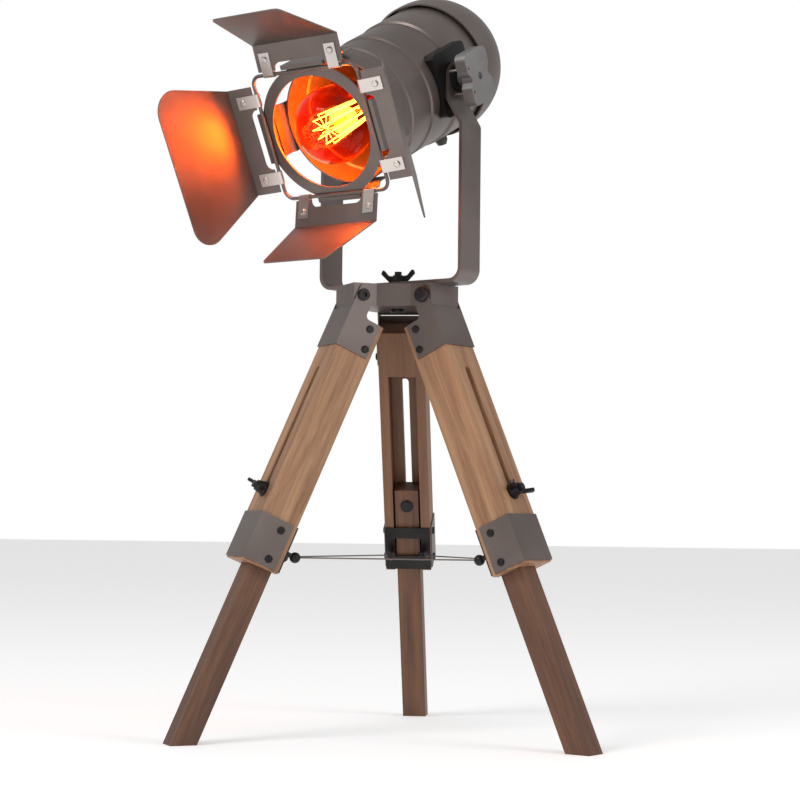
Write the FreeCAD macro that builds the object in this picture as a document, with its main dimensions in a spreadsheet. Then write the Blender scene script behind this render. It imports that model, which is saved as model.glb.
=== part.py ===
import FreeCAD
import Part
import Sketcher
import math
import os
from FreeCAD import Placement, Rotation, Vector

# Tripod spotlight floor lamp. Origin on the floor, on the axis of the tripod; +Z up, millimetres.
# The camera of the photograph stands at -Y; the rear leg points to +Y.

SIZES = {
    # tripod
    "leg_tilt": 24.0,            # lean of each leg from the vertical, degrees
    "pivot_radius": 40.0,        # hinge of a leg, from the axis of the tripod
    "pivot_height": 365.0,
    "leg_width": 40.0,
    "leg_depth": 32.0,
    "leg_face": 4.2,             # hinge line to the outer face of the leg
    "leg_start": 17.0,           # distances along a leg are measured down from its hinge
    "leg_end": 239.0,
    "channel_width": 24.0,
    "channel_depth": 22.1,
    "channel_start": 56.5,
    "slot_width": 6.4,
    "slot_start": 66.0,
    "slot_end": 184.0,
    "lower_width": 20.7,
    "lower_depth": 20.1,
    "lower_start": 163.4,
    "slide_gap": 0.3,
    # sheet brackets
    "sheet": 1.2,
    "bracket_reach": 28.5,       # outer face of the leg to the back edge of a side plate
    "web_start": 12.0,
    "bracket_end": 47.3,
    "ear_radius": 9.5,
    "shoulder_radius": 4.0,
    "upper_screw_a_back": 21.2,  # screws: distance behind the outer face, and down the leg
    "upper_screw_a_down": 23.5,
    "upper_screw_b_back": 24.2,
    "upper_screw_b_down": 40.6,
    "lower_bracket_start": 198.0,
    "lower_bracket_end": 237.7,
    "lower_screw_back": 19.7,
    "lower_screw_a_down": 206.0,
    "lower_screw_b_down": 231.0,
    "screw_radius": 1.5,
    "screw_length": 6.0,
    "screw_head_radius": 3.2,
    "screw_head_height": 1.7,
    "window_start": 208.0,
    "window_end": 225.0,
    "window_radius": 2.0,
    # ball studs and wires
    "stud_spread": 14.0,
    "stud_down": 220.0,
    "stud_length": 9.2,
    "stud_radius": 2.0,
    "ball_radius": 4.5,
    "wire_radius": 0.6,
    "wire_gap": 0.1,
    # hub
    "hub_bottom": 356.5,
    "hub_top": 375.0,
    "hub_arm_end": 48.0,
    "hub_arm_gap": 0.3,
    "hub_core": 31.0,            # axis to the flats between the arms
    # bolts
    "bolt_radius": 3.0,
    "bolt_fit": 0.06,
    "head_gap": 0.3,
    "pan_head_radius": 6.5,
    "pan_head_height": 3.4,
    "socket_head_radius": 5.0,
    "socket_head_height": 2.0,
    "socket_radius": 2.2,
    "leg_bolt_down": 178.0,
    "leg_bolt_head_radius": 5.5,
    "leg_bolt_head_height": 2.4,
    "washer_radius": 7.0,
    "washer_height": 1.0,
    "bolt_end_play": 0.1,
    # wing nuts
    "nut_height": 7.0,
    "nut_base_radius": 6.0,
    "nut_top_radius": 4.4,
    "wing_span": 15.0,
    "wing_top": 12.5,
    "wing_thick": 2.6,
    "wing_round": 4.0,
    # yoke
    "pan_angle": 29.5,           # turn of the head to the left, degrees
    "pan_gap": 0.1,
    "strip_width": 28.0,
    "strip_thick": 3.0,
    "yoke_half": 73.0,
    "yoke_bend": 12.0,
    "joggle_start": 506.0,
    "joggle_rise": 22.0,
    "joggle_shift": 13.7,
    "joggle_bend": 4.0,
    "tilt_height": 546.0,
    # head, along its own axis from the tilt axis
    "tilt_angle": 27.5,          # nod of the head, degrees
    "barrel_wall": 1.4,
    "mouth_radius": 53.5,
    "mouth_front": 92.0,
    "mouth_back": 68.0,
    "bead_radius": 54.0,
    "bead_back": 64.0,
    "waist_radius": 52.5,
    "ridge_a": 37.0,
    "mid_radius": 53.7,
    "ridge_b": 3.0,              # this ridge lies behind the tilt axis
    "rear_radius": 55.3,
    "barrel_back": 57.0,
    "ridge_ramp": 1.6,
    "dome_radius": 59.0,
    "dome_wall": 1.4,
    "dome_front": 45.0,
    "dome_centre": 53.0,
    "dome_flat": 0.4,
    "dome_ring_radius": 52.0,
    "dome_ring_thick": 2.0,
    "seat_gap": 0.1,
    "bracket_half_long": 25.0,
    "bracket_half_tall": 27.0,
    "bracket_face": 56.0,
    "bracket_inner": 45.0,
    "bracket_round": 5.0,
    "bracket_screw_ahead": 17.0,
    "bracket_screw_up": 22.0,
    "bracket_screw_radius": 1.5,
    "bracket_screw_length": 5.8,
    "bracket_head_height": 0.25,
    # lamp holder and bulb
    "holder_radius": 19.0,
    "holder_front": 22.0,
    "holder_back": 30.0,
    "holder_bore": 13.7,
    "holder_floor": 8.0,
    "cap_radius": 13.2,
    "cap_front": 20.0,
    "cap_back": 6.0,
    "cap_tip": 3.0,
    "plate_width": 20.0,
    "plate_thick": 2.0,
    "plate_reach": 52.6,
    "plate_tab": 12.0,
    "bulb_radius": 32.0,
    "bulb_front": 132.0,
    "bulb_taper": 92.0,
    "bulb_blend": 40.0,
    "bulb_neck": 12.6,
    "glass_wall": 0.9,
    "pip_radius": 2.2,
    "pip_length": 2.4,
    "stem_radius": 6.0,
    "stem_top": 52.0,
    "rod_radius": 1.2,
    "rod_top": 117.0,
    "filament_radius": 0.45,
    "support_radius": 0.35,
    "filament_ring_front": 13.0,
    "filament_ring_back": 9.0,
    "filament_front": 114.0,
    "filament_back": 56.0,
    # filter ring, clips and wire frame
    "ring_hole": 46.7,
    "ring_radius": 56.3,
    "ring_back": 119.9,
    "ring_front": 121.4,
    "clip_half": 21.0,
    "clip_foot_back": 80.0,
    "clip_foot_front": 91.0,
    "clip_web": 58.0,
    "clip_lip": 54.2,
    "clip_front": 122.8,
    "clip_slot": 2.0,
    "filter_slot_back": 106.8,
    "frame_half": 52.3,
    "frame_wire": 1.5,
    "frame_bend": 8.0,
    # leaves
    "leaf_sheet": 1.0,
    "tab_sheet": 0.8,
    "tab_fit": 0.1,
    "tab_width": 10.5,
    "tab_spread": 33.0,
    "tab_length": 18.0,
    "tab_screw_out": 12.5,
    "flange_start": 2.8,
    "cut_depth": 9.0,
    "cut_half": 25.5,
    "cut_round": 6.0,
    "tab_screw_radius": 1.2,
    "tab_screw_head": 2.7,
    "tab_screw_height": 1.5,
    # tilt clamps
    "disc_radius": 12.0,
    "disc_thick": 2.4,
    "pin_radius": 1.1,
    "pin_spread": 10.0,
    "pin_ahead": 14.0,
    "knob_inner": 71.0,
    "knob_outer": 81.0,
    "knob_half_long": 22.0,
    "knob_half_wide": 17.0,
    "knob_waist": 10.5,
    "knob_lobe": 6.0,
    "tilt_nut_radius": 5.5,
    "tilt_nut_height": 3.0,
    # cable gland
    "gland_radius": 5.5,
    "gland_length": 9.0,
    "gland_bore": 2.6,
    "gland_back": 38.0,
}

# flange length, flange tilt, fold width, plate angle, plate length, outer width, corner radius
LEAVES = {
    "top": {"turns": 0, "flange": 25.0, "tilt": -4.0, "fold": 85.0, "plate": 56.0,
            "length": 62.0, "outer": 66.0, "round": 5.0},
    "left": {"turns": 1, "flange": 25.0, "tilt": 10.0, "fold": 90.0, "plate": 82.0,
             "length": 77.0, "outer": 144.0, "round": 18.0},
    "bottom": {"turns": 2, "flange": 25.0, "tilt": 31.0, "fold": 82.5, "plate": 84.0,
               "length": 64.0, "outer": 64.0, "round": 5.0},
    "right": {"turns": 3, "flange": 25.0, "tilt": -15.0, "fold": 90.0, "plate": 56.0,
              "length": 77.0, "outer": 144.0, "round": 18.0},
}
LEGS = {"rear": 90.0, "left": 210.0, "right": 330.0}
FILAMENT_WIRES = 10

X_AXIS = Vector(1, 0, 0)
Y_AXIS = Vector(0, 1, 0)
Z_AXIS = Vector(0, 0, 1)


class Size:
    """A number together with the sheet formula that gives it."""

    def __init__(self, value, formula):
        self.value = value
        self.formula = formula

    def __add__(self, other):
        other = sized(other)
        return Size(self.value + other.value, f"({self.formula} + {other.formula})")

    def __sub__(self, other):
        other = sized(other)
        return Size(self.value - other.value, f"({self.formula} - {other.formula})")

    def __mul__(self, other):
        other = sized(other)
        return Size(self.value * other.value, f"({self.formula} * {other.formula})")

    def __truediv__(self, other):
        other = sized(other)
        return Size(self.value / other.value, f"({self.formula} / {other.formula})")

    def __radd__(self, other):
        return sized(other) + self

    def __rsub__(self, other):
        return sized(other) - self

    def __rmul__(self, other):
        return sized(other) * self

    def __neg__(self):
        return Size(-self.value, f"(0 - {self.formula})")


def sized(item):
    """Any number as a Size."""
    return item if isinstance(item, Size) else Size(float(item), f"({float(item)})")


def cosine(angle):
    angle = sized(angle)
    return Size(math.cos(math.radians(angle.value)), f"cos({angle.formula})")


def sine(angle):
    angle = sized(angle)
    return Size(math.sin(math.radians(angle.value)), f"sin({angle.formula})")


def root(square):
    return Size(math.sqrt(square.value), f"sqrt({square.formula})")


doc = FreeCAD.newDocument("Lamp")
sheet = doc.addObject("Spreadsheet::Sheet", "Sizes")
for leaf, numbers in LEAVES.items():
    for word, number in numbers.items():
        if word != "turns":
            SIZES[f"{leaf}_leaf_{word}"] = number
for row, (word, number) in enumerate(SIZES.items(), start=1):
    sheet.set(f"A{row}", word)
    sheet.set(f"B{row}", str(number))
    sheet.setAlias(f"B{row}", word)
doc.recompute()


class Sheet:
    """The sheet's cells, read by alias."""

    def __getattr__(self, word):
        return Size(float(getattr(sheet, word)), f"Sizes.{word}")


S = Sheet()
pieces = {}


# ---------------------------------------------------------------- building blocks

def bind(item, **sizes):
    """Tie properties of an item to the sheet."""
    for name, size in sizes.items():
        item.setExpression(name.replace("__", "."), sized(size).formula)


def place(item, x=0, y=0, z=0, axis=None, angle=0):
    """Place an operand, tied to the sheet: a shift, and a turn about one axis."""
    if axis is None and (x, y, z) == (0, 0, 0):
        return item
    turn_to = Rotation(axis, sized(angle).value) if axis is not None else Rotation()
    item.Placement = Placement(Vector(sized(x).value, sized(y).value, sized(z).value), turn_to)
    bind(item, Placement__Base__x=x, Placement__Base__y=y, Placement__Base__z=z)
    if axis is not None and isinstance(angle, Size):
        bind(item, Placement__Rotation__Angle=angle)
    return item


def turned(angle, axis=Z_AXIS):
    return Placement(Vector(), Rotation(axis, sized(angle).value))


def shifted(x=0, y=0, z=0):
    return Placement(Vector(sized(x).value, sized(y).value, sized(z).value), Rotation())


def keep(name, item, frame=None):
    """Name a finished piece and put it in its place."""
    item.Label = name
    if frame is not None:
        item.Placement = frame
    pieces[name] = item
    return item


def tie(sketch, geometry, point, x, y):
    """Tie one point of a sketch to the origin."""
    for kind, size in (("DistanceX", sized(x)), ("DistanceY", sized(y))):
        number = sketch.addConstraint(
            Sketcher.Constraint(kind, -1, 1, geometry, point, size.value)
        )
        sketch.setExpression(f"Constraints[{number}]", size.formula)


def tie_radius(sketch, geometry, radius):
    radius = sized(radius)
    number = sketch.addConstraint(Sketcher.Constraint("Radius", geometry, radius.value))
    sketch.setExpression(f"Constraints[{number}]", radius.formula)


def draw_outline(sketch, corners):
    """A closed outline through (x, y) corners; (x, y, r) is rounded with radius r."""
    spots = [Vector(sized(c[0]).value, sized(c[1]).value, 0) for c in corners]
    radii = [sized(c[2]).value if len(c) > 2 else 0.0 for c in corners]
    count = len(corners)
    enters = []
    leaves = []
    middles = []
    for i in range(count):
        back = (spots[i - 1] - spots[i]).normalize()
        ahead = (spots[(i + 1) % count] - spots[i]).normalize()
        half = back.getAngle(ahead) / 2
        cut = radii[i] / math.tan(half) if radii[i] else 0.0
        enters.append(spots[i] + back * cut)
        leaves.append(spots[i] + ahead * cut)
        bisector = (back + ahead).normalize() if radii[i] else Vector()
        middles.append(spots[i] + bisector * (radii[i] / math.sin(half) if radii[i] else 0.0))
    lines = []
    for i in range(count):
        line = Part.LineSegment(leaves[i], enters[(i + 1) % count])
        lines.append(sketch.addGeometry(line))
    for i in range(count):
        before = lines[i - 1]
        after = lines[i]
        if not radii[i]:
            sketch.addConstraint(Sketcher.Constraint("Coincident", before, 2, after, 1))
            tie(sketch, after, 1, corners[i][0], corners[i][1])
            continue
        a = enters[i] - middles[i]
        b = leaves[i] - middles[i]
        from_angle = math.atan2(a.y, a.x)
        to_angle = math.atan2(b.y, b.x)
        leftward = a.x * b.y - a.y * b.x > 0
        circle = Part.Circle(middles[i], Z_AXIS, radii[i])
        if leftward:
            arc = sketch.addGeometry(Part.ArcOfCircle(circle, from_angle, to_angle))
        else:
            arc = sketch.addGeometry(Part.ArcOfCircle(circle, to_angle, from_angle))
        start, end = (1, 2) if leftward else (2, 1)
        corner = sketch.addGeometry(Part.Point(spots[i]), True)
        sketch.addConstraint(Sketcher.Constraint("PointOnObject", corner, 1, before))
        sketch.addConstraint(Sketcher.Constraint("PointOnObject", corner, 1, after))
        sketch.addConstraint(Sketcher.Constraint("Tangent", before, 2, arc, start))
        sketch.addConstraint(Sketcher.Constraint("Tangent", arc, end, after, 1))
        tie(sketch, corner, 1, corners[i][0], corners[i][1])
        tie_radius(sketch, arc, corners[i][2])


def draw_circle(sketch, x, y, radius):
    spot = Vector(sized(x).value, sized(y).value, 0)
    circle = sketch.addGeometry(Part.Circle(spot, Z_AXIS, sized(radius).value))
    tie(sketch, circle, 3, x, y)
    tie_radius(sketch, circle, radius)


def new_body(name):
    return doc.addObject("PartDesign::Body", name + "_body")


def sketch_on(body, role, outlines, circles=(), offset=0):
    """A sketch on one of the body's own planes, shifted along the plane's normal."""
    sketch = body.newObject("Sketcher::SketchObject", body.Name + "_sketch")
    plane = [item for item in body.Origin.OriginFeatures if item.Role == role][0]
    sketch.AttachmentSupport = [(plane, "")]
    sketch.MapMode = "FlatFace"
    offset = sized(offset)
    sketch.AttachmentOffset = Placement(Vector(0, 0, offset.value), Rotation())
    bind(sketch, AttachmentOffset__Base__z=offset)
    for corners in outlines:
        draw_outline(sketch, corners)
    for x, y, radius in circles:
        draw_circle(sketch, x, y, radius)
    return sketch


def pad(body, role, outlines, length, circles=(), offset=0):
    """Thicken outlines along the normal: +Z from XY, +X from YZ, -Y from XZ."""
    feature = body.newObject("PartDesign::Pad", body.Name + "_pad")
    feature.Profile = sketch_on(body, role, outlines, circles, offset)
    bind(feature, Length=length)
    return feature


def pocket(body, role, outlines, length, circles=(), offset=0, up=False):
    """Cut against the normal, or along it when up is set."""
    doc.recompute()
    feature = body.newObject("PartDesign::Pocket", body.Name + "_pocket")
    feature.Profile = sketch_on(body, role, outlines, circles, offset)
    feature.Reversed = up
    bind(feature, Length=length)
    return feature


def revolve(body, corners):
    """Turn an outline of (radius, height) corners about the body's Z axis."""
    feature = body.newObject("PartDesign::Revolution", body.Name + "_revolution")
    sketch = sketch_on(body, "XZ_Plane", [corners])
    feature.Profile = sketch
    feature.ReferenceAxis = (sketch, ["V_Axis"])
    feature.Angle = 360
    return feature


def revolved(name, corners, frame):
    body = new_body(name)
    revolve(body, corners)
    return keep(name, body, frame)


def cylinder(name, radius, height, x=0, y=0, z=0, axis=None, angle=0):
    item = doc.addObject("Part::Cylinder", name)
    bind(item, Radius=radius, Height=height)
    return place(item, x, y, z, axis, angle)


def sphere(name, radius, x=0, y=0, z=0):
    item = doc.addObject("Part::Sphere", name)
    bind(item, Radius=radius)
    return place(item, x, y, z)


def fuse(name, items):
    item = doc.addObject("Part::MultiFuse", name)
    item.Shapes = items
    return item


def cut(name, base, tool):
    item = doc.addObject("Part::Cut", name)
    item.Base = base
    item.Tool = tool
    return item


def group(name, items):
    """Separate solids that share one node."""
    item = doc.addObject("Part::Compound", name + "_group")
    item.Links = items
    return keep(name, item)


def sheet_plate(name, corners, thick, offset, circles=()):
    """A flat sheet: an outline in the XY plane, thickened along +Z from the offset."""
    sketch = doc.addObject("Sketcher::SketchObject", name + "_sketch")
    draw_outline(sketch, corners)
    for x, y, radius in circles:
        draw_circle(sketch, x, y, radius)
    sketch.Placement = Placement(Vector(0, 0, sized(offset).value), Rotation())
    bind(sketch, Placement__Base__z=offset)
    item = doc.addObject("Part::Extrusion", name)
    item.Base = sketch
    item.DirMode = "Custom"
    item.Dir = Z_AXIS
    item.Solid = True
    bind(item, LengthFwd=thick)
    return item


def rectangle(x0, x1, y0, y1):
    return [(x0, y0), (x1, y0), (x1, y1), (x0, y1)]


def pan_screw(name, shank, length, head, height, frame):
    """A screw along +Z: the shank below z = 0, the head above it."""
    body = new_body(name)
    revolve(body, [(0, -sized(length)), (shank, -sized(length)), (shank, 0), (head, 0),
                   (head, height, sized(height) * 0.7), (0, height)])
    body.Placement = frame
    return body


# ---------------------------------------------------------------- frames

def leg_frame(azimuth):
    """+X out of the leg's outer face, +Y across the leg, -Z down the leg from its hinge."""
    lift = shifted(S.pivot_radius, 0, S.pivot_height)
    return turned(azimuth) * lift * turned(-S.leg_tilt, Y_AXIS)


def pan_frame():
    """The yoke: +X along the tilt axis, to the right in the photograph."""
    return turned(-S.pan_angle)


def optic_frame():
    """The head: +X along the tilt axis, +Y up across the beam, +Z along the beam."""
    return pan_frame() * shifted(0, 0, S.tilt_height) * turned(S.tilt_angle + 90, X_AXIS)


leg_back = S.leg_face - S.leg_depth
half_leg = S.leg_width / 2
bracket_outer = S.leg_face + S.sheet
bracket_half = half_leg + S.sheet
bracket_back = S.leg_face - S.bracket_reach
hole = S.bolt_radius + S.bolt_fit
screw_hole = S.screw_radius + S.bolt_fit
board = S.leg_depth - S.channel_depth
channel_floor = leg_back + S.channel_depth

UPPER_SCREWS = [
    (S.leg_face - S.upper_screw_a_back, -S.upper_screw_a_down),
    (S.leg_face - S.upper_screw_b_back, -S.upper_screw_b_down),
]
LOWER_SCREWS = [
    (S.leg_face - S.lower_screw_back, -S.lower_screw_a_down),
    (S.leg_face - S.lower_screw_back, -S.lower_screw_b_down),
]


# ---------------------------------------------------------------- legs

def upper_leg(name, frame):
    """Square bar with a channel open to the inside and a slot through its outer board."""
    body = new_body(name)
    bar = rectangle(leg_back, S.leg_face, -half_leg, half_leg)
    pad(body, "XY_Plane", [bar], S.leg_end - S.leg_start, offset=-S.leg_end)
    half = S.channel_width / 2
    channel = rectangle(leg_back - 1, channel_floor, -half, half)
    pocket(body, "XY_Plane", [channel], S.leg_end - S.channel_start + 1,
           offset=-S.leg_end - 1, up=True)
    half_slot = S.slot_width / 2
    bow = half_slot - 0.05
    slot = [(-half_slot, -S.slot_end, bow), (half_slot, -S.slot_end, bow),
            (half_slot, -S.slot_start, bow), (-half_slot, -S.slot_start, bow)]
    pocket(body, "YZ_Plane", [slot], board + 2, offset=S.leg_face + 1)
    spots = [(x, z, screw_hole) for x, z in UPPER_SCREWS + LOWER_SCREWS]
    depth = S.screw_length + S.bolt_fit
    pocket(body, "XZ_Plane", [], depth, circles=spots, offset=-half_leg, up=True)
    pocket(body, "XZ_Plane", [], depth, circles=spots, offset=half_leg)
    keep(name, body, frame)


def upper_bracket(name, frame):
    """U of sheet: a web on the outer face, two sides that end in ears round the hinge bolt."""
    body = new_body(name)
    ear = S.ear_radius
    side = [
        (bracket_outer, -S.bracket_end), (bracket_outer, ear, ear * 0.5), (-ear, ear, ear * 0.96),
        (-ear, -S.leg_start, S.shoulder_radius), (bracket_back, -S.leg_start),
        (bracket_back, -S.bracket_end),
    ]
    holes = [(0, 0, hole)] + [(x, z, screw_hole) for x, z in UPPER_SCREWS]
    pad(body, "XZ_Plane", [side], bracket_half * 2, circles=holes, offset=-bracket_half)
    inside = rectangle(bracket_back - 1, S.leg_face, -half_leg, half_leg)
    pocket(body, "XY_Plane", [inside], S.bracket_end + ear * 2, offset=-S.bracket_end - 1, up=True)
    above = rectangle(S.leg_face - 1, bracket_outer + 1, -half_leg, half_leg)
    pocket(body, "XY_Plane", [above], S.web_start + ear * 2, offset=-S.web_start, up=True)
    keep(name, body, frame)


def lower_bracket(name, frame):
    body = new_body(name)
    wall = [
        (bracket_back, -bracket_half), (bracket_outer, -bracket_half),
        (bracket_outer, bracket_half), (bracket_back, bracket_half), (bracket_back, half_leg),
        (S.leg_face, half_leg), (S.leg_face, -half_leg), (bracket_back, -half_leg),
    ]
    height = S.lower_bracket_end - S.lower_bracket_start
    pad(body, "XY_Plane", [wall], height, offset=-S.lower_bracket_end)
    spots = [(x, z, screw_hole) for x, z in LOWER_SCREWS]
    pocket(body, "XZ_Plane", [], S.sheet + 0.5, circles=spots, offset=-bracket_half - 0.2, up=True)
    pocket(body, "XZ_Plane", [], S.sheet + 0.5, circles=spots, offset=bracket_half + 0.2)
    keep(name, body, frame)


def inner_plate(name, frame):
    """Window plate on the inner face, with two ball studs that hold the wires."""
    body = new_body(name)
    plate = rectangle(-half_leg, half_leg, -S.lower_bracket_end, -S.lower_bracket_start)
    half = S.channel_width / 2
    bow = S.window_radius
    window = [(-half, -S.window_end, bow), (half, -S.window_end, bow),
              (half, -S.window_start, bow), (-half, -S.window_start, bow)]
    pad(body, "YZ_Plane", [plate, window], S.sheet, offset=leg_back - S.sheet)
    items = [body]
    for side, sign in (("a", -1), ("b", 1)):
        y = S.stud_spread * sign
        ball = leg_back - S.sheet - S.stud_length
        items.append(cylinder(f"{name}_neck_{side}", S.stud_radius, S.stud_length, ball, y,
                              -S.stud_down, Y_AXIS, 90))
        items.append(sphere(f"{name}_ball_{side}", S.ball_radius, ball, y, -S.stud_down))
    keep(name, fuse(name + "_fuse", items), frame)


def bracket_screws(name, frame):
    """Pan head screws through both sides of both brackets."""
    screws = []
    for number, (x, z) in enumerate(UPPER_SCREWS + LOWER_SCREWS):
        for side in (-1, 1):
            spot = shifted(x, bracket_half * side, z) * turned(-90 * side, X_AXIS)
            screws.append(pan_screw(f"{name}_{number}_{side + 1}", S.screw_radius,
                                    S.screw_length + S.sheet, S.screw_head_radius,
                                    S.screw_head_height, frame * spot))
    group(name, screws)


def ball_spot(azimuth, side):
    """Centre of a ball of the leg at this azimuth."""
    ball = shifted(leg_back - S.sheet - S.stud_length, S.stud_spread * side, -S.stud_down)
    return (leg_frame(azimuth) * ball).Base


def spreader_wire(name, azimuth, next_azimuth):
    """Taut wire from one ball of a leg to the facing ball of the next leg."""
    start = ball_spot(azimuth, 1)
    end = ball_spot(next_azimuth, -1)
    run = end - start
    inset = S.ball_radius + S.wire_gap
    item = doc.addObject("Part::Cylinder", name + "_rod")
    bind(item, Radius=S.wire_radius)
    item.Height = run.Length - 2 * inset.value
    origin = start + Vector(run).normalize() * inset.value
    keep(name, item, Placement(origin, Rotation(Z_AXIS, run)))


def lower_leg(name, frame):
    """Square bar that slides in the channel; its foot is sawn level with the floor."""
    body = new_body(name)
    face = channel_floor - S.slide_gap
    back = face - S.lower_depth

    def floor_down(x):
        return (S.pivot_height + x * sine(S.leg_tilt)) / cosine(S.leg_tilt)

    side = [(face, -S.lower_start), (back, -S.lower_start), (back, -floor_down(back)),
            (face, -floor_down(face))]
    pad(body, "XZ_Plane", [side], S.lower_width, offset=-S.lower_width / 2)
    pocket(body, "YZ_Plane", [], S.lower_depth + 2, circles=[(0, -S.leg_bolt_down, hole)],
           offset=face + 1)
    keep(name, body, frame)


def leg_bolt(name, frame):
    """Clamp bolt: its head behind the lower leg, its washer on the outer face of the upper."""
    back = channel_floor - S.slide_gap - S.lower_depth
    washer = S.leg_face + S.bolt_end_play
    tip = washer + S.washer_height + S.nut_height + S.bolt_radius
    body = new_body(name)
    revolve(body, [
        (0, back - S.leg_bolt_head_height),
        (S.leg_bolt_head_radius, back - S.leg_bolt_head_height, S.leg_bolt_head_height * 0.6),
        (S.leg_bolt_head_radius, back), (S.bolt_radius, back), (S.bolt_radius, washer),
        (S.washer_radius, washer), (S.washer_radius, washer + S.washer_height),
        (S.bolt_radius, washer + S.washer_height), (S.bolt_radius, tip), (0, tip),
    ])
    keep(name, body, frame * shifted(0, 0, -S.leg_bolt_down) * turned(90, Y_AXIS))


def wing_nut(name, frame):
    """Turned boss with two wings; its seat is at z = 0."""
    body = new_body(name)
    revolve(body, [(hole, 0), (S.nut_base_radius, 0), (S.nut_top_radius, S.nut_height),
                   (hole, S.nut_height)])
    doc.recompute()
    bow = S.wing_round
    wings = []
    for side in (-1, 1):
        root_in = (S.nut_top_radius - 0.6) * side
        wings.append([
            (root_in, 0.8), ((S.nut_base_radius + 2) * side, 1.6),
            (S.wing_span * side, S.wing_top - bow, 1.0),
            ((S.wing_span - 1.6) * side, S.wing_top, 1.0),
            ((S.nut_base_radius + 2.5) * side, S.nut_height), (root_in, S.nut_height - 0.8),
        ])
    pad(body, "XZ_Plane", wings, S.wing_thick, offset=-S.wing_thick / 2)
    keep(name, body, frame)


for leg, azimuth in LEGS.items():
    frame = leg_frame(azimuth)
    upper_leg(f"upper_leg_{leg}", frame)
    upper_bracket(f"upper_bracket_{leg}", frame)
    lower_bracket(f"lower_bracket_{leg}", frame)
    inner_plate(f"inner_plate_{leg}", frame)
    bracket_screws(f"bracket_screws_{leg}", frame)
    spreader_wire(f"spreader_wire_{leg}", azimuth, azimuth + 120)
    lower_leg(f"lower_leg_{leg}", frame)
    leg_bolt(f"leg_bolt_{leg}", frame)
    seat = S.leg_face + S.bolt_end_play + S.washer_height
    wing_nut(f"leg_wing_nut_{leg}",
             frame * shifted(seat, 0, -S.leg_bolt_down) * turned(90, Y_AXIS) * turned(75))


# ---------------------------------------------------------------- hub

def hub_block():
    """Three arms between the ears of the legs, round a six-sided core."""
    half = half_leg - S.hub_arm_gap
    inner = (S.hub_core - half * math.cos(math.radians(30))) * 2
    corners = []
    for azimuth in LEGS.values():
        along = Vector(math.cos(math.radians(azimuth)), math.sin(math.radians(azimuth)), 0)
        for reach, aside in ((inner, -half), (S.hub_arm_end, -half), (S.hub_arm_end, half),
                             (inner, half)):
            corners.append((reach * along.x - aside * along.y, reach * along.y + aside * along.x))
    body = new_body("hub_block")
    height = S.hub_top - S.hub_bottom
    pad(body, "XY_Plane", [corners], height, circles=[(0, 0, hole)], offset=S.hub_bottom)
    bore = pocket(body, "YZ_Plane", [], half_leg * 2 + 10,
                  circles=[(S.pivot_radius, S.pivot_height, hole)], offset=half_leg + 5)
    doc.recompute()
    pattern = body.newObject("PartDesign::PolarPattern", "hub_bores")
    pattern.Originals = [bore]
    upright = [item for item in body.Origin.OriginFeatures if item.Role == "Z_Axis"][0]
    pattern.Axis = (upright, [""])
    pattern.Angle = 360
    pattern.Occurrences = len(LEGS)
    body.Tip = pattern
    keep("hub_block", body)


def hinge_bolts():
    """One through each arm: a pan head on one side, a socket end on the other."""
    end = bracket_half + S.head_gap
    bolts = []
    for leg, azimuth in LEGS.items():
        body = new_body(f"hinge_bolt_{leg}")
        revolve(body, [
            (0, -end - S.pan_head_height),
            (S.pan_head_radius, -end - S.pan_head_height, S.pan_head_height * 0.8),
            (S.pan_head_radius, -end), (S.bolt_radius, -end), (S.bolt_radius, end),
            (S.socket_head_radius, end), (S.socket_head_radius, end + S.socket_head_height, 0.8),
            (0, end + S.socket_head_height),
        ])
        pocket(body, "XY_Plane", [], S.socket_head_height, circles=[(0, 0, S.socket_radius)],
               offset=end + S.socket_head_height)
        hinge = shifted(S.pivot_radius, 0, S.pivot_height)
        body.Placement = turned(azimuth) * hinge * turned(-90, X_AXIS)
        bolts.append(body)
    group("leg_hinge_bolts", bolts)


def pan_bolt():
    """Upright bolt with its head under the hub; it carries the yoke."""
    seat = S.hub_top + S.pan_gap + S.strip_thick + S.pan_gap
    tip = seat + S.nut_height + S.bolt_radius
    revolved("pan_bolt", [
        (0, S.hub_bottom - S.pan_head_height),
        (S.pan_head_radius, S.hub_bottom - S.pan_head_height, S.pan_head_height * 0.7),
        (S.pan_head_radius, S.hub_bottom), (S.bolt_radius, S.hub_bottom),
        (S.bolt_radius, tip), (0, tip),
    ], None)
    wing_nut("pan_wing_nut", shifted(0, 0, seat) * turned(-15))


hub_block()
hinge_bolts()
pan_bolt()


# ---------------------------------------------------------------- yoke

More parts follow.
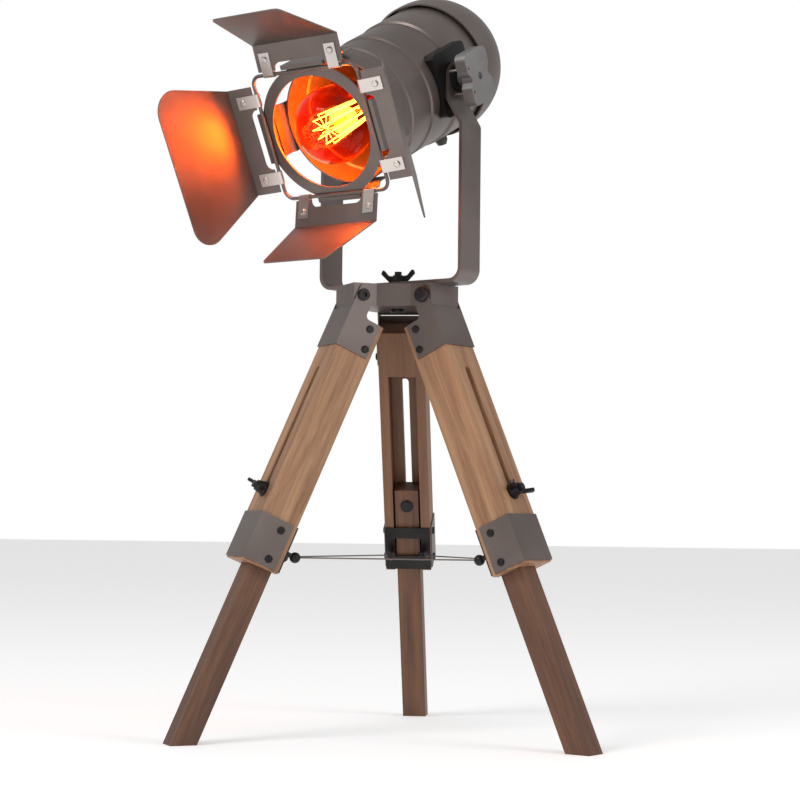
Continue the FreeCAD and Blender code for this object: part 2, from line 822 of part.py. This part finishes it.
def yoke():
    """Flat bar bent to a U, with a joggle in each arm and round ends on the tilt axis."""
    thick = S.strip_thick
    slope = S.joggle_shift / S.joggle_rise
    drop = thick * (root(slope * slope + 1) - 1) / slope
    bottom = S.hub_top + S.pan_gap
    half_width = S.strip_width / 2
    top = S.tilt_height + half_width
    outer = S.yoke_half
    inner = outer - thick
    bend = S.joggle_bend
    wide = bend + thick
    outside = [
        (outer, bottom, S.yoke_bend), (outer, S.joggle_start, wide),
        (outer - S.joggle_shift, S.joggle_start + S.joggle_rise, bend),
        (outer - S.joggle_shift, top),
    ]
    inside = [
        (inner - S.joggle_shift, top),
        (inner - S.joggle_shift, S.joggle_start + S.joggle_rise - drop, wide),
        (inner, S.joggle_start - drop, bend), (inner, bottom + thick, S.yoke_bend - thick),
    ]
    right = outside + inside
    left = [(-corner[0],) + corner[1:] for corner in reversed(right)]
    body = new_body("yoke")
    pad(body, "XZ_Plane", [right + left], S.strip_width, offset=-half_width)
    pocket(body, "YZ_Plane", [], outer * 2 + 2, circles=[(0, S.tilt_height, hole)],
           offset=outer + 1)
    pocket(body, "XY_Plane", [], thick + 2, circles=[(0, 0, hole)], offset=bottom + thick + 1)
    round_end = half_width - 0.1
    ends = []
    for side in (-1, 1):
        ends.append([
            ((half_width + 1) * side, S.tilt_height), ((half_width + 1) * side, top + 1),
            (0.04 * side, top + 1), (0.04 * side, top), (half_width * side, top, round_end),
            (half_width * side, S.tilt_height),
        ])
    pocket(body, "YZ_Plane", ends, outer * 2 + 2, offset=outer + 1)
    keep("yoke", body, pan_frame())


yoke()


# ---------------------------------------------------------------- head

OPTIC = optic_frame()


def barrel_side(extra):
    """Outside of the barrel from its mouth back, as (radius, place along the beam)."""
    ramp = S.ridge_ramp
    return [
        (S.mouth_radius + extra, S.mouth_front), (S.waist_radius + 0.4 + extra, S.mouth_back),
        (S.bead_radius + extra, S.mouth_back - ramp), (S.bead_radius + extra, S.bead_back),
        (S.waist_radius + extra, S.bead_back - ramp), (S.waist_radius + extra, S.ridge_a),
        (S.mid_radius + extra, S.ridge_a - ramp), (S.mid_radius + extra, -S.ridge_b),
        (S.rear_radius + extra, -S.ridge_b - ramp), (S.rear_radius + extra, -S.barrel_back),
    ]


def housing_barrel():
    """Spun barrel with a flared mouth, a bead and two ridges."""
    outside = barrel_side(0)
    inside = [(radius - S.barrel_wall, spot) for radius, spot in reversed(outside)]
    body = new_body("housing_barrel")
    revolve(body, outside + inside)
    pocket(body, "YZ_Plane", [], S.rear_radius * 2 + 4, circles=[(0, 0, hole)],
           offset=S.rear_radius + 2)
    pocket(body, "XZ_Plane", [], S.rear_radius + 2, up=True,
           circles=[(0, -S.gland_back, S.gland_radius - 1.5 + S.bolt_fit)])
    keep("housing_barrel", body, OPTIC)


def rear_dome():
    """Bowl over the back of the barrel, open to it by a dark gap; a ring inside seats it."""
    outer = S.dome_radius
    inner = outer - S.dome_wall
    back = -S.dome_centre - outer
    ring_front = -S.barrel_back - S.seat_gap
    body = new_body("rear_dome")
    revolve(body, [
        (outer, -S.dome_front), (outer, back, outer - S.dome_flat), (0, back),
        (0, back + S.dome_wall), (inner, back + S.dome_wall, inner - S.dome_flat),
        (inner, -S.dome_front),
    ])
    doc.recompute()
    revolve(body, rectangle(S.dome_ring_radius, inner + 0.4, ring_front - S.dome_ring_thick,
                            ring_front))
    keep("rear_dome", body, OPTIC)


def side_brackets():
    """Block on each side of the barrel, hollowed to it; a screw holds each, the bolt passes."""
    long = S.bracket_half_long
    tall = S.bracket_half_tall
    bow = S.bracket_round
    blocks = []
    for side, sign in (("right", 1), ("left", -1)):
        body = new_body(f"side_bracket_{side}")
        outline = [(-tall, -long, bow), (tall, -long, bow), (tall, long, bow), (-tall, long, bow)]
        holes = [(0, 0, hole),
                 (S.bracket_screw_up, S.bracket_screw_ahead, S.bracket_screw_radius + S.bolt_fit)]
        start = S.bracket_inner if sign > 0 else -S.bracket_face
        pad(body, "YZ_Plane", [outline], S.bracket_face - S.bracket_inner, circles=holes,
            offset=start)
        tool = new_body(f"side_bracket_hollow_{side}")
        skin = barrel_side(S.seat_gap)
        revolve(tool, skin + [(0, -S.barrel_back), (0, S.mouth_front)])
        blocks.append(cut(f"side_bracket_cut_{side}", body, tool))
    item = group("side_brackets", blocks)
    item.Placement = OPTIC


def side_screws():
    """Dome head screws in the side brackets."""
    screws = []
    for sign in (1, -1):
        spot = shifted(S.bracket_face * sign, S.bracket_screw_up, S.bracket_screw_ahead)
        frame = OPTIC * spot * turned(90 * sign, Y_AXIS)
        screws.append(pan_screw(f"side_screw_{sign + 1}", S.bracket_screw_radius,
                                S.bracket_screw_length, S.screw_head_radius,
                                S.bracket_head_height, frame))
    group("side_bracket_screws", screws)


def tilt_bolts():
    """A bolt on each side of the head, from a nut inside the barrel to the knob."""
    nut_out = S.mid_radius - S.barrel_wall - 0.6
    tip = S.knob_outer - 2
    bolts = []
    for sign in (1, -1):
        body = new_body(f"tilt_bolt_{sign + 1}")
        revolve(body, [
            (0, nut_out - S.tilt_nut_height), (S.tilt_nut_radius, nut_out - S.tilt_nut_height),
            (S.tilt_nut_radius, nut_out), (S.bolt_radius, nut_out), (S.bolt_radius, tip), (0, tip),
        ])
        body.Placement = OPTIC * turned(90 * sign, Y_AXIS)
        bolts.append(body)
    group("tilt_bolts", bolts)


def lamp_holder():
    """Cup that takes the bulb's cap, on a cross plate inside the barrel."""
    revolved("lamp_holder", [
        (0, -S.holder_back), (S.holder_radius, -S.holder_back, 3), (S.holder_radius, S.holder_front),
        (S.holder_bore, S.holder_front), (S.holder_bore, -S.holder_floor - S.cap_tip),
        (0, -S.holder_floor - S.cap_tip),
    ], OPTIC)
    back = -S.holder_back - S.seat_gap
    body = new_body("holder_plate")
    reach = S.plate_reach
    thick = S.plate_thick
    pad(body, "XZ_Plane", [[
        (-reach, back - thick, thick), (reach, back - thick, thick), (reach, back + S.plate_tab),
        (reach - thick, back + S.plate_tab), (reach - thick, back), (thick - reach, back),
        (thick - reach, back + S.plate_tab), (-reach, back + S.plate_tab),
    ]], S.plate_width, offset=-S.plate_width / 2)
    keep("holder_plate", body, OPTIC)


def bulb():
    """Long filament bulb: glass, cap, stem with its rod, and a cage of filament wires."""
    front = S.bulb_front
    wall = S.glass_wall
    radius = S.bulb_radius
    neck = S.bulb_neck
    seat = S.cap_front - 4
    neck_front = S.holder_front + 1
    body = new_body("bulb_glass")
    revolve(body, [
        (0, front + S.pip_length), (S.pip_radius, front + S.pip_length, S.pip_radius * 0.7),
        (S.pip_radius, front, 1), (radius, front, radius - S.pip_radius - 1.2),
        (radius, S.bulb_taper, S.bulb_blend), (neck, neck_front), (neck, seat),
        (neck - wall, seat), (neck - wall, neck_front),
        (radius - wall, S.bulb_taper, S.bulb_blend), (radius - wall, front - wall, radius - 4),
        (0, front - wall),
    ])
    keep("bulb_glass", body, OPTIC)
    cap = S.cap_radius
    revolved("bulb_cap", [
        (0, -S.cap_back - S.cap_tip), (4, -S.cap_back - S.cap_tip, 1), (cap, -S.cap_back),
        (cap, S.cap_front), (neck + S.bolt_fit, S.cap_front), (neck + S.bolt_fit, seat - S.seat_gap),
        (0, seat - S.seat_gap),
    ], OPTIC)
    revolved("bulb_stem", [
        (0, seat), (neck - wall - 1, seat), (S.stem_radius, seat + 8, 6),
        (S.stem_radius * 0.6, S.stem_top), (S.rod_radius, S.stem_top), (S.rod_radius, S.rod_top),
        (0, S.rod_top),
    ], OPTIC)


def filament():
    """Straight wires between two stars of short supports on the rod."""
    start = S.rod_radius + 0.05
    near = S.filament_ring_back
    far = S.filament_ring_front
    rise = S.filament_front - S.filament_back
    lean = math.degrees(math.atan2((far - near).value, rise.value))
    length = root((far - near) * (far - near) + rise * rise)
    stars = (("front", far, S.filament_front), ("back", near, S.filament_back))
    touch = S.filament_radius + 0.05
    items = []
    for number in range(FILAMENT_WIRES):
        turn_to = 360 / FILAMENT_WIRES * number
        for word, reach, spot in stars:
            inward = 1 if word == "back" else -1
            support = cylinder(f"filament_{word}_{number}", S.support_radius,
                               reach - start - touch)
            spot = spot + inward * S.support_radius
            support.Placement = turned(turn_to) * shifted(start, 0, spot) * turned(90, Y_AXIS)
            items.append(support)
        wire = cylinder(f"filament_wire_{number}", S.filament_radius, length)
        foot = shifted(near, 0, S.filament_back) * turned(lean, Y_AXIS)
        wire.Placement = turned(turn_to) * foot
        items.append(wire)
    group("filament", items).Placement = OPTIC


def filter_ring():
    body = new_body("filter_ring")
    pad(body, "XY_Plane", [], S.ring_front - S.ring_back, offset=S.ring_back,
        circles=[(0, 0, S.ring_radius), (0, 0, S.ring_hole)])
    keep("filter_ring", body, OPTIC)


def holder_clips():
    """Four bent clips: a foot on the barrel, a channel for a filter, a channel for the ring."""
    thick = S.sheet
    web = S.clip_web
    lip = S.clip_lip
    foot = S.mouth_radius + S.seat_gap
    ring_top = S.clip_front - thick
    ring_low = ring_top - S.clip_slot
    slot = S.filter_slot_back
    profile = [
        (foot, S.clip_foot_back), (foot + thick, S.clip_foot_back),
        (foot + thick, S.clip_foot_front - 0.6), (web, S.clip_foot_front + web - foot - thick - 0.6),
        (web, S.clip_front), (lip, S.clip_front), (lip, ring_top), (web - thick, ring_top),
        (web - thick, ring_low), (lip, ring_low), (lip, ring_low - thick),
        (web - thick, ring_low - thick), (web - thick, slot + S.clip_slot + thick),
        (lip, slot + S.clip_slot + thick), (lip, slot + S.clip_slot), (web - thick, slot + S.clip_slot),
        (web - thick, slot), (lip, slot), (lip, slot - thick), (web - thick, slot - thick),
        (web - thick, S.clip_foot_front + web - thick - foot), (foot, S.clip_foot_front),
    ]
    clips = []
    for number in range(4):
        body = new_body(f"holder_clip_{number}")
        pad(body, "YZ_Plane", [profile], S.clip_half * 2, offset=-S.clip_half)
        body.Placement = OPTIC * turned(90 * number)
        clips.append(body)
    group("holder_clips", clips)


def wire_centre():
    """Place along the beam of the frame's wire, just clear of the ring."""
    return S.ring_front + S.frame_wire + 0.05


def door_frame():
    """Square frame of round wire on the front of the ring; the leaves turn on its sides."""
    half = S.frame_half
    bow = S.frame_bend
    straight = half - bow
    items = []
    for number in range(4):
        side = cylinder(f"door_frame_side_{number}", S.frame_wire, straight * 2)
        side.Placement = turned(90 * number) * shifted(half, -straight, 0) * turned(-90, X_AXIS)
        corner = doc.addObject("Part::Torus", f"door_frame_corner_{number}")
        bind(corner, Radius1=bow, Radius2=S.frame_wire)
        corner.Angle3 = 90
        corner.Placement = turned(90 * number) * shifted(straight, straight, 0)
        items += [side, corner]
    keep("door_frame", fuse("door_frame_fuse", items), OPTIC * shifted(0, 0, wire_centre()))


def cable_gland():
    """Short bushing under the back of the barrel for the supply cable."""
    neck = S.gland_radius - 1.5
    inside = S.rear_radius - S.barrel_wall
    seat = S.rear_radius + S.seat_gap
    revolved("cable_gland", [
        (S.gland_bore, inside - 4), (neck, inside - 4), (neck, seat), (S.gland_radius, seat),
        (S.gland_radius, seat + S.gland_length * 0.6),
        (S.gland_radius - 1.6, seat + S.gland_length), (S.gland_bore, seat + S.gland_length),
    ], OPTIC * shifted(0, 0, -S.gland_back) * turned(90, X_AXIS))


housing_barrel()
rear_dome()
side_brackets()
side_screws()
tilt_bolts()
lamp_holder()
bulb()
filament()
filter_ring()
holder_clips()
door_frame()
cable_gland()


# ---------------------------------------------------------------- tilt clamps

yoke_face = S.yoke_half - S.joggle_shift


def tilt_clamp(side, sign):
    """Friction disc on the yoke, two steel pins, and a knob with two lobes."""
    frame = OPTIC * turned(90 * sign, Y_AXIS)
    start = yoke_face + S.head_gap
    disc_end = start + S.disc_thick
    long = S.knob_half_long
    wide = S.knob_half_wide
    waist = S.knob_waist
    lobe = S.knob_lobe
    body = new_body(f"tilt_knob_{side}")
    ahead = -sign
    outline = [
        (-wide, -long, lobe), (wide, -long, lobe), (wide, -lobe, lobe), (waist, 0, 5.0),
        (wide, lobe, lobe), (wide, long, lobe), (-wide, long, lobe), (-wide, lobe, lobe),
        (-waist, 0, 5.0), (-wide, -lobe, lobe),
    ]
    pin_hole = S.pin_radius + S.bolt_fit
    pins = [(S.pin_ahead * ahead, S.pin_spread), (S.pin_ahead * ahead, -S.pin_spread)]
    pad(body, "XY_Plane", [outline], S.knob_outer - S.knob_inner, offset=S.knob_inner,
        circles=[(0, 0, hole)] + [(x, y, pin_hole) for x, y in pins])
    doc.recompute()
    revolve(body, rectangle(hole, 6.5, disc_end + S.head_gap, S.knob_inner))
    keep(f"tilt_knob_{side}", body, frame)
    rods = []
    for number, (x, y) in enumerate(pins):
        rods.append(cylinder(f"tilt_pin_{side}_{number}", S.pin_radius,
                             S.knob_outer - 1 - disc_end - S.head_gap, x, y, disc_end + S.head_gap))
    rod_group = group(f"tilt_pins_{side}", rods)
    rod_group.Placement = frame
    disc = new_body(f"friction_disc_{side}")
    revolve(disc, rectangle(hole, S.disc_radius, start, disc_end))
    disc.Placement = frame
    return disc


discs = [tilt_clamp("right", 1), tilt_clamp("left", -1)]
group("friction_discs", discs)


# ---------------------------------------------------------------- leaves

def leaf_frame(turns, tilt):
    """+X along the hinge wire, +Y out along the flange, +Z to its front."""
    side = shifted(0, S.frame_half, wire_centre())
    return OPTIC * turned(90 * turns) * side * turned(tilt, X_AXIS)


def leaf(name, turns):
    """Flange, fold and flared plate of one sheet, and the two tabs that hang it on the wire."""
    flange = getattr(S, f"{name}_leaf_flange")
    tilt = getattr(S, f"{name}_leaf_tilt")
    fold = getattr(S, f"{name}_leaf_fold") / 2
    plate_angle = getattr(S, f"{name}_leaf_plate")
    length = getattr(S, f"{name}_leaf_length")
    outer = getattr(S, f"{name}_leaf_outer") / 2
    bow = getattr(S, f"{name}_leaf_round")
    thick = S.leaf_sheet
    tab_inner = S.frame_wire + S.tab_fit
    front = tab_inner
    back = front - thick
    start = S.flange_start
    cut_half = S.cut_half
    frame = leaf_frame(turns, tilt)
    screw_hole_radius = S.tab_screw_radius + S.bolt_fit
    spots = [(S.tab_spread, S.tab_screw_out, screw_hole_radius),
             (-S.tab_spread, S.tab_screw_out, screw_hole_radius)]
    flat = sheet_plate(f"leaf_{name}_flange", [
        (-fold, start), (-cut_half, start), (-cut_half, S.cut_depth, S.cut_round),
        (cut_half, S.cut_depth, S.cut_round), (cut_half, start), (fold, start),
        (fold, flange), (-fold, flange),
    ], thick, back, spots)
    bend = cylinder(f"leaf_{name}_fold", thick / 2, fold * 2, -fold, flange, back + thick / 2,
                    Y_AXIS, 90)
    sheet_out = sheet_plate(f"leaf_{name}_plate", [
        (-fold, 0), (fold, 0), (outer, length, bow), (-outer, length, bow),
    ], thick, -thick / 2)
    place(sheet_out, 0, flange, back + thick / 2, X_AXIS, plate_angle - tilt)
    keep(f"leaf_{name}", fuse(f"leaf_{name}_fuse", [flat, bend, sheet_out]), frame)
    tabs = []
    for sign in (1, -1):
        label = f"leaf_tab_{name}_{sign + 1}"
        body = new_body(label)
        ring = [(0, 0, tab_inner)]
        half = S.tab_width / 2
        middle = S.tab_spread * sign
        pad(body, "YZ_Plane", [], S.tab_width, offset=middle - half,
            circles=[(0, 0, tab_inner + S.tab_sheet)] + ring)
        doc.recompute()
        pad(body, "YZ_Plane", [rectangle(0, S.tab_length, tab_inner, tab_inner + S.tab_sheet)],
            S.tab_width, offset=middle - half)
        pocket(body, "XY_Plane", [], S.tab_sheet + 1, offset=tab_inner + S.tab_sheet + 0.5,
               circles=[(middle, S.tab_screw_out, screw_hole_radius)])
        body.Placement = frame
        tabs.append(body)
        head = shifted(middle, S.tab_screw_out, tab_inner + S.tab_sheet)
        tabs.append(pan_screw(f"{label}_screw", S.tab_screw_radius,
                              S.tab_sheet + thick + 1.2, S.tab_screw_head, S.tab_screw_height,
                              frame * head))
    group(f"leaf_tabs_{name}", tabs)


for name, numbers in LEAVES.items():
    leaf(name, numbers["turns"])


# ---------------------------------------------------------------- check and write

doc.recompute()
for item in doc.Objects:
    faults = [word for word in item.State if word in ("Invalid", "Error")]
    if faults:
        raise RuntimeError(f"{item.Label}: {faults}")
for name, item in pieces.items():
    if item.Shape.isNull() or not item.Shape.isValid():
        raise RuntimeError(f"{name}: its shape is not valid")

os.makedirs("parts", exist_ok=True)
for name, item in pieces.items():
    item.Shape.exportStep(os.path.join("parts", name + ".step"))
    print(name, len(item.Shape.Solids), round(item.Shape.Volume, 1))
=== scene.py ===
import math

import bpy
from mathutils import Matrix, Vector


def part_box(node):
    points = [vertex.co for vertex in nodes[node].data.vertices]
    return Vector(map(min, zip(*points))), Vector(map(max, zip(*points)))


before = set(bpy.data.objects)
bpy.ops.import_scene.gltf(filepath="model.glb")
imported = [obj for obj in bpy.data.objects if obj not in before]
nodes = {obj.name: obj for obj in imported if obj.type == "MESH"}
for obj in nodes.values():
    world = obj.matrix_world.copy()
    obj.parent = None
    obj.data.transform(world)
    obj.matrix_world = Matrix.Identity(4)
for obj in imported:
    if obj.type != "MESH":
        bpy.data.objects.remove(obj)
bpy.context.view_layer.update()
bpy.ops.object.select_all(action="DESELECT")

# ---------------------------------------------------------------- camera
# The photograph is taken low down from a few steps away, with a long lens,
# and stands a little to the right of the lamp's front.

stand_off = 1.7073
stand_turn = math.radians(6.38)
eye_height = 0.1855
look_turn = math.radians(6.19)
look_up = math.radians(3.18)
image_lean = math.radians(0.64)
focal_pixels = 2038
frame_pixels = 800
centre_pixel = 403.5

ahead = Vector((-math.sin(look_turn) * math.cos(look_up),
                math.cos(look_turn) * math.cos(look_up), math.sin(look_up)))
level_right = ahead.cross(Vector((0, 0, 1))).normalized()
level_up = level_right.cross(ahead)
right = level_right * math.cos(image_lean) + level_up * math.sin(image_lean)
up = level_up * math.cos(image_lean) - level_right * math.sin(image_lean)
eye = Vector((stand_off * math.sin(stand_turn), -stand_off * math.cos(stand_turn), eye_height))

bpy.ops.object.camera_add()
camera = bpy.context.object
camera.name = "camera"
camera.matrix_world = Matrix((
    (right.x, up.x, -ahead.x, eye.x),
    (right.y, up.y, -ahead.y, eye.y),
    (right.z, up.z, -ahead.z, eye.z),
    (0, 0, 0, 1),
))
camera.data.sensor_width = 36
camera.data.lens = 36 * focal_pixels / frame_pixels
camera.data.shift_x = -(centre_pixel - frame_pixels / 2) / frame_pixels
camera.data.clip_start = 0.01
bpy.context.scene.camera = camera

# ---------------------------------------------------------------- studio
# A pale floor and backdrop in one soft light: a broad lamp high on the left,
# a weaker one on the right, and an even white surround.

floor_colour = (0.93, 0.93, 0.93, 1)


def plain_material(name):
    """A new material and its two main nodes."""
    material = bpy.data.materials.new(name)
    material.use_nodes = True
    tree = material.node_tree
    return material, tree, tree.nodes["Principled BSDF"]


def studio_floor():
    bpy.ops.mesh.primitive_plane_add(size=14, location=(0, 3.5, 0))
    floor = bpy.context.object
    floor.name = "floor"
    material, tree, shader = plain_material("studio_floor")
    shader.inputs["Base Color"].default_value = floor_colour
    shader.inputs["Roughness"].default_value = 0.8
    shader.inputs["Emission Color"].default_value = (1, 1, 1, 1)
    shader.inputs["Emission Strength"].default_value = 0.3
    floor.data.materials.append(material)


def studio_world():
    world = bpy.data.worlds.new("studio")
    bpy.context.scene.world = world
    world.use_nodes = True
    tree = world.node_tree
    surround = tree.nodes["Background"]
    surround.inputs["Color"].default_value = (1, 1, 1, 1)
    path = tree.nodes.new("ShaderNodeLightPath")
    level = tree.nodes.new("ShaderNodeMapRange")
    level.inputs["To Min"].default_value = 0.5
    level.inputs["To Max"].default_value = 1.0
    tree.links.new(path.outputs["Is Camera Ray"], level.inputs["Value"])
    tree.links.new(level.outputs["Result"], surround.inputs["Strength"])


def studio_lamp(name, place, size, power):
    bpy.ops.object.light_add(type="AREA", location=place)
    lamp = bpy.context.object
    lamp.name = name
    lamp.data.size = size
    lamp.data.energy = power
    aim = Vector((0, 0, 0.35)) - Vector(place)
    lamp.rotation_euler = aim.to_track_quat("-Z", "Y").to_euler()


studio_floor()
studio_world()
studio_lamp("lamp_left", (-1.3, -1.6, 1.9), 1.0, 24)
studio_lamp("lamp_right", (1.9, -0.9, 1.2), 0.9, 12)
bpy.context.scene.view_settings.view_transform = "Standard"

# ---------------------------------------------------------------- legs of wood
# Square bars of oiled hardwood, sawn and sanded. The grain runs along each bar;
# the lower bars slide in the channels of the upper ones and are a little darker.

leg_turns = {"rear": 90, "left": 210, "right": 330}
leg_lean = math.radians(24)
tan_wood = (0.42, 0.235, 0.125, 1)
brown_wood = (0.235, 0.115, 0.056, 1)
dark_wood = (0.17, 0.075, 0.036, 1)
deep_wood = (0.085, 0.035, 0.018, 1)


def new_node(tree, kind, **sockets):
    """A shader node with some of its inputs set."""
    item = tree.nodes.new(kind)
    for name, value in sockets.items():
        item.inputs[name.replace("_", " ")].default_value = value
    return item


def two_colours(tree, source, dark, light, low, high):
    """A ramp from dark to light between two levels of a pattern."""
    ramp = tree.nodes.new("ShaderNodeValToRGB")
    ramp.color_ramp.elements[0].position = low
    ramp.color_ramp.elements[0].color = dark
    ramp.color_ramp.elements[1].position = high
    ramp.color_ramp.elements[1].color = light
    tree.links.new(source, ramp.inputs["Fac"])
    return ramp.outputs["Color"]


def bump(tree, shader, source, strength, depth):
    relief = new_node(tree, "ShaderNodeBump", Strength=strength, Distance=depth)
    tree.links.new(source, relief.inputs["Height"])
    tree.links.new(relief.outputs["Normal"], shader.inputs["Normal"])


def wood_material(name, leg, light, dark):
    """Long streaks and fine pores, turned so that they follow the leg."""
    material, tree, shader = plain_material(name)
    place = tree.nodes.new("ShaderNodeTexCoord")
    turn = tree.nodes.new("ShaderNodeMapping")
    turn.vector_type = "TEXTURE"
    turn.inputs["Rotation"].default_value = (0, -leg_lean, math.radians(leg_turns[leg]))
    tree.links.new(place.outputs["Object"], turn.inputs["Vector"])
    stretch = tree.nodes.new("ShaderNodeMapping")
    stretch.inputs["Scale"].default_value = (1, 1, 0.06)
    tree.links.new(turn.outputs["Vector"], stretch.inputs["Vector"])
    streak = new_node(tree, "ShaderNodeTexNoise", Scale=130, Detail=6, Roughness=0.6, Distortion=0.4)
    tree.links.new(stretch.outputs["Vector"], streak.inputs["Vector"])
    pores = new_node(tree, "ShaderNodeTexNoise", Scale=900, Detail=3, Roughness=0.7)
    tree.links.new(stretch.outputs["Vector"], pores.inputs["Vector"])
    mix = new_node(tree, "ShaderNodeMath")
    mix.operation = "MULTIPLY_ADD"
    mix.inputs[1].default_value = 0.35
    tree.links.new(pores.outputs["Fac"], mix.inputs[0])
    tree.links.new(streak.outputs["Fac"], mix.inputs[2])
    colour = two_colours(tree, mix.outputs["Value"], dark, light, 0.52, 0.82)
    tree.links.new(colour, shader.inputs["Base Color"])
    shader.inputs["Roughness"].default_value = 0.5
    bump(tree, shader, pores.outputs["Fac"], 0.25, 0.0004)
    return material


def dress(node, material):
    """Give a carried-over node its finish."""
    thing = nodes[node]
    if thing.material_slots:
        for place in thing.material_slots:
            place.material = material
    else:
        thing.data.materials.append(material)
    for face in thing.data.polygons:
        face.material_index = 0


for leg in leg_turns:
    # The rear upper leg is the same wood as the front ones, given the darker pair of tones as painted
    # shade where it stands behind the head.
    if leg == "rear":
        upper = wood_material("rear_upper_wood", leg, brown_wood, dark_wood)
    else:
        upper = wood_material(f"{leg}_upper_wood", leg, tan_wood, brown_wood)
    lower = wood_material(f"{leg}_lower_wood", leg, dark_wood, deep_wood)
    dress(f"upper_leg_{leg}", upper)
    dress(f"lower_leg_{leg}", lower)

# ---------------------------------------------------------------- bronze sheet and bar
# Brackets, hub, yoke, head and leaves are steel with a satin bronze coat:
# pressed or turned, then sprayed, with a fine orange-peel skin.

bronze = (0.150, 0.122, 0.110, 1)
bronze_light = (0.205, 0.170, 0.155, 1)


def sprayed_metal(name, dark, light, metallic, roughness):
    material, tree, shader = plain_material(name)
    place = tree.nodes.new("ShaderNodeTexCoord")
    cloud = new_node(tree, "ShaderNodeTexNoise", Scale=14, Detail=3, Roughness=0.5)
    tree.links.new(place.outputs["Object"], cloud.inputs["Vector"])
    colour = two_colours(tree, cloud.outputs["Fac"], dark, light, 0.35, 0.65)
    tree.links.new(colour, shader.inputs["Base Color"])
    shader.inputs["Metallic"].default_value = metallic
    haze = new_node(tree, "ShaderNodeMapRange")
    haze.inputs["To Min"].default_value = roughness - 0.05
    haze.inputs["To Max"].default_value = roughness + 0.07
    tree.links.new(cloud.outputs["Fac"], haze.inputs["Value"])
    tree.links.new(haze.outputs["Result"], shader.inputs["Roughness"])
    skin = new_node(tree, "ShaderNodeTexNoise", Scale=1400, Detail=2)
    tree.links.new(place.outputs["Object"], skin.inputs["Vector"])
    bump(tree, shader, skin.outputs["Fac"], 0.12, 0.0002)
    return material


bronze_coat = sprayed_metal("bronze_coat", bronze, bronze_light, 0.75, 0.38)
for leg in leg_turns:
    dress(f"upper_bracket_{leg}", bronze_coat)
    dress(f"lower_bracket_{leg}", bronze_coat)
    dress(f"spreader_wire_{leg}", bronze_coat)
for node in ("hub_block", "yoke", "housing_barrel", "rear_dome", "filter_ring", "holder_clips",
             "door_frame", "holder_plate", "leaf_top", "leaf_left", "leaf_bottom", "leaf_right"):
    dress(node, bronze_coat)

# ---------------------------------------------------------------- black fittings
# Screws, bolts, wing nuts, window plates and side brackets are blackened steel,
# a little oily; the lamp holder is moulded in black. The side brackets are sized
# to the whole dark patch on each side of the head, part of which is shadow cast
# by the knob and arm, so their black is partly painted shade.

black_coat = sprayed_metal("black_coat", (0.012, 0.011, 0.011, 1), (0.03, 0.028, 0.027, 1), 0.6, 0.36)
black_moulding = sprayed_metal("black_moulding", (0.02, 0.018, 0.017, 1),
                               (0.03, 0.027, 0.025, 1), 0.0, 0.42)
for leg in leg_turns:
    for node in ("inner_plate", "bracket_screws", "leg_bolt", "leg_wing_nut"):
        dress(f"{node}_{leg}", black_coat)
# side_brackets: real black plates that also stand in for painted shade on the housing's sides.
for node in ("pan_bolt", "pan_wing_nut", "leg_hinge_bolts", "side_brackets",
             "side_bracket_screws", "friction_discs"):
    dress(node, black_coat)
dress("lamp_holder", black_moulding)
dress("cable_gland", black_moulding)

# ---------------------------------------------------------------- bright fittings
# Tabs on the leaves, tilt pins and bolts are nickel plate.
# The two knobs are cast and sprayed light grey.

nickel = sprayed_metal("nickel", (0.55, 0.50, 0.47, 1), (0.72, 0.67, 0.63, 1), 1.0, 0.27)
grey_cast = sprayed_metal("grey_cast", (0.23, 0.22, 0.22, 1), (0.33, 0.32, 0.31, 1), 0.7, 0.4)
for leaf in ("top", "left", "bottom", "right"):
    dress(f"leaf_tabs_{leaf}", nickel)
for node in ("tilt_pins_left", "tilt_pins_right", "tilt_bolts"):
    dress(node, nickel)
dress("tilt_knob_left", grey_cast)
dress("tilt_knob_right", grey_cast)

# ---------------------------------------------------------------- bulb
# A long bulb of amber glass with a brass cap; inside, a glass stem and a cage
# of glowing wires. The filament lights the inside of the leaves orange.

amber = (1.0, 0.36, 0.07, 1)
glow = (1.0, 0.62, 0.22, 1)


def bulb_glass():
    material, tree, shader = plain_material("amber_glass")
    shader.inputs["Base Color"].default_value = amber
    shader.inputs["Roughness"].default_value = 0.02
    shader.inputs["IOR"].default_value = 1.2
    shader.inputs["Transmission Weight"].default_value = 1.0
    output = tree.nodes["Material Output"]
    clear = tree.nodes.new("ShaderNodeBsdfTransparent")
    clear.inputs["Color"].default_value = (1.0, 0.55, 0.2, 1)
    path = tree.nodes.new("ShaderNodeLightPath")
    mix = tree.nodes.new("ShaderNodeMixShader")
    tree.links.new(path.outputs["Is Shadow Ray"], mix.inputs["Fac"])
    tree.links.new(shader.outputs["BSDF"], mix.inputs[1])
    tree.links.new(clear.outputs["BSDF"], mix.inputs[2])
    tree.links.new(mix.outputs["Shader"], output.inputs["Surface"])
    return material


def hot_wire():
    material, tree, shader = plain_material("hot_wire")
    shader.inputs["Base Color"].default_value = glow
    shader.inputs["Emission Color"].default_value = glow
    shader.inputs["Emission Strength"].default_value = 25
    return material


glass = bulb_glass()
dress("bulb_glass", glass)
dress("bulb_stem", glass)
dress("filament", hot_wire())
dress("bulb_cap", sprayed_metal("brass", (0.42, 0.30, 0.13, 1), (0.6, 0.45, 0.22, 1), 1.0, 0.3))

low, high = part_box("filament")
bpy.ops.object.light_add(type="POINT", location=(Vector(low) + Vector(high)) / 2)
bulb_light = bpy.context.object
bulb_light.name = "bulb_light"
bulb_light.data.color = (1.0, 0.38, 0.08)
bulb_light.data.energy = 1.6
bulb_light.data.shadow_soft_size = 0.012
